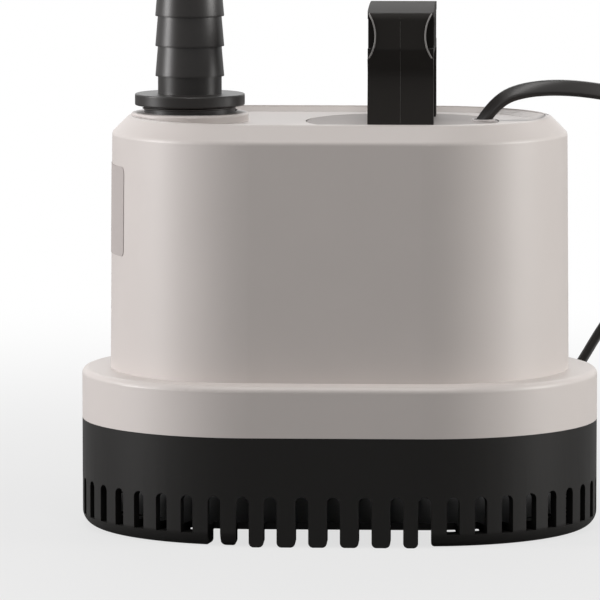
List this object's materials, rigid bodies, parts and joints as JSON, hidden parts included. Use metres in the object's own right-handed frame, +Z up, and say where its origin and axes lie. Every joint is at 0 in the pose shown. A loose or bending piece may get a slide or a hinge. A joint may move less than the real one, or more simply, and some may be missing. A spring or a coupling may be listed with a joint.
{
  "type": "submersible utility pump",
  "caption": "Small bottom-suction submersible pump: oval grey motor housing with wider skirt, slotted black base, barbed hose fitting, round cap with carrying handle and flat mains lead",
  "frame": {"origin": "bottom centre of the strainer's standing rim, in the middle of its oval plan", "axes": "+X to the end where the cord leaves, +Y to the back, +Z up along the outlet"},
  "size_m": [0.2217, 0.2284, 0.2184],
  "materials": {
    "housing_plastic": "fine moulded satin, light warm grey",
    "cap_plastic": "satin moulded, slightly darker warm grey",
    "handle_plastic": "black moulded, satin",
    "fitting_plastic": "black moulded, semi-gloss",
    "strainer_plastic": "black moulded, satin",
    "wet_end_plastic": "dark grey glass-filled, matt",
    "impeller_plastic": "off-white moulded, satin",
    "bobbin_plastic": "pale glass-filled, matt",
    "seal_rubber": "black rubber, matt",
    "cord_sheath": "black PVC sheath, satin",
    "plug_plastic": "black PVC, satin",
    "screw_steel": "stainless, turned",
    "pin_metal": "nickel-plated brass",
    "lamination_steel": "stacked electrical steel",
    "copper_wire": "enamelled copper",
    "potting": "cast dark epoxy",
    "shaft_ceramic": "ground white ceramic",
    "magnet_ferrite": "sintered ferrite, dark grey",
    "lead_sleeve": "coloured insulation"
  },
  "bodies": {
    "pump": {"motor_housing": "housing_plastic", "top_cap": "cap_plastic", "carry_handle": "handle_plastic", "handle_screws": "screw_steel", "cord_gland": "seal_rubber", "discharge_pipe": "wet_end_plastic", "motor_floor": "wet_end_plastic", "floor_gasket": "seal_rubber", "floor_screws": "screw_steel", "volute_casing": "wet_end_plastic", "cover_seal": "seal_rubber", "volute_cover": "wet_end_plastic", "cover_screws": "screw_steel", "rotor_shaft": "shaft_ceramic", "upper_bearing": "seal_rubber", "lower_bearing": "seal_rubber", "thrust_washers": "shaft_ceramic", "stator_core": "lamination_steel", "coil_bobbins": "bobbin_plastic", "stator_windings": "copper_wire", "thermal_cutout": "bobbin_plastic", "lead_wires": "lead_sleeve", "potting_resin": "potting", "power_cord": "cord_sheath", "cord_coil": "cord_sheath", "coil_tie": "seal_rubber", "cord_tail": "cord_sheath", "plug_body": "plug_plastic", "plug_pins": "pin_metal"},
    "rotor": {"impeller": "impeller_plastic", "rotor_magnet": "magnet_ferrite"},
    "fitting_ring": {"fitting_seal": "seal_rubber"},
    "hose_fitting": {"hose_barb": "fitting_plastic"},
    "strainer": {"strainer_base": "strainer_plastic"}
  },
  "joints": [
    {"name": "rotor_spin", "type": "hinge", "parent": "pump", "child": "rotor", "pos_m": [0.005, 0, 0.06], "axis": [0, 0, 1], "continuous": true},
    {"name": "fitting_lift", "type": "slide", "parent": "pump", "child": "fitting_ring", "axis": [0, 0, 1], "range_m": [0, 0.00925]},
    {"name": "fitting_unscrew", "type": "hinge", "parent": "fitting_ring", "child": "hose_fitting", "pos_m": [-0.05455, 0, 0.15], "axis": [0, 0, 1], "range_deg": [0, 1440]},
    {"name": "strainer_release", "type": "slide", "parent": "pump", "child": "strainer", "axis": [0, 0, -1], "range_m": [0, 0.04]}
  ],
  "couplings": [
    {"joint": "fitting_lift", "follows": "fitting_unscrew", "m_per_rad": 0.0003675}
  ]
}
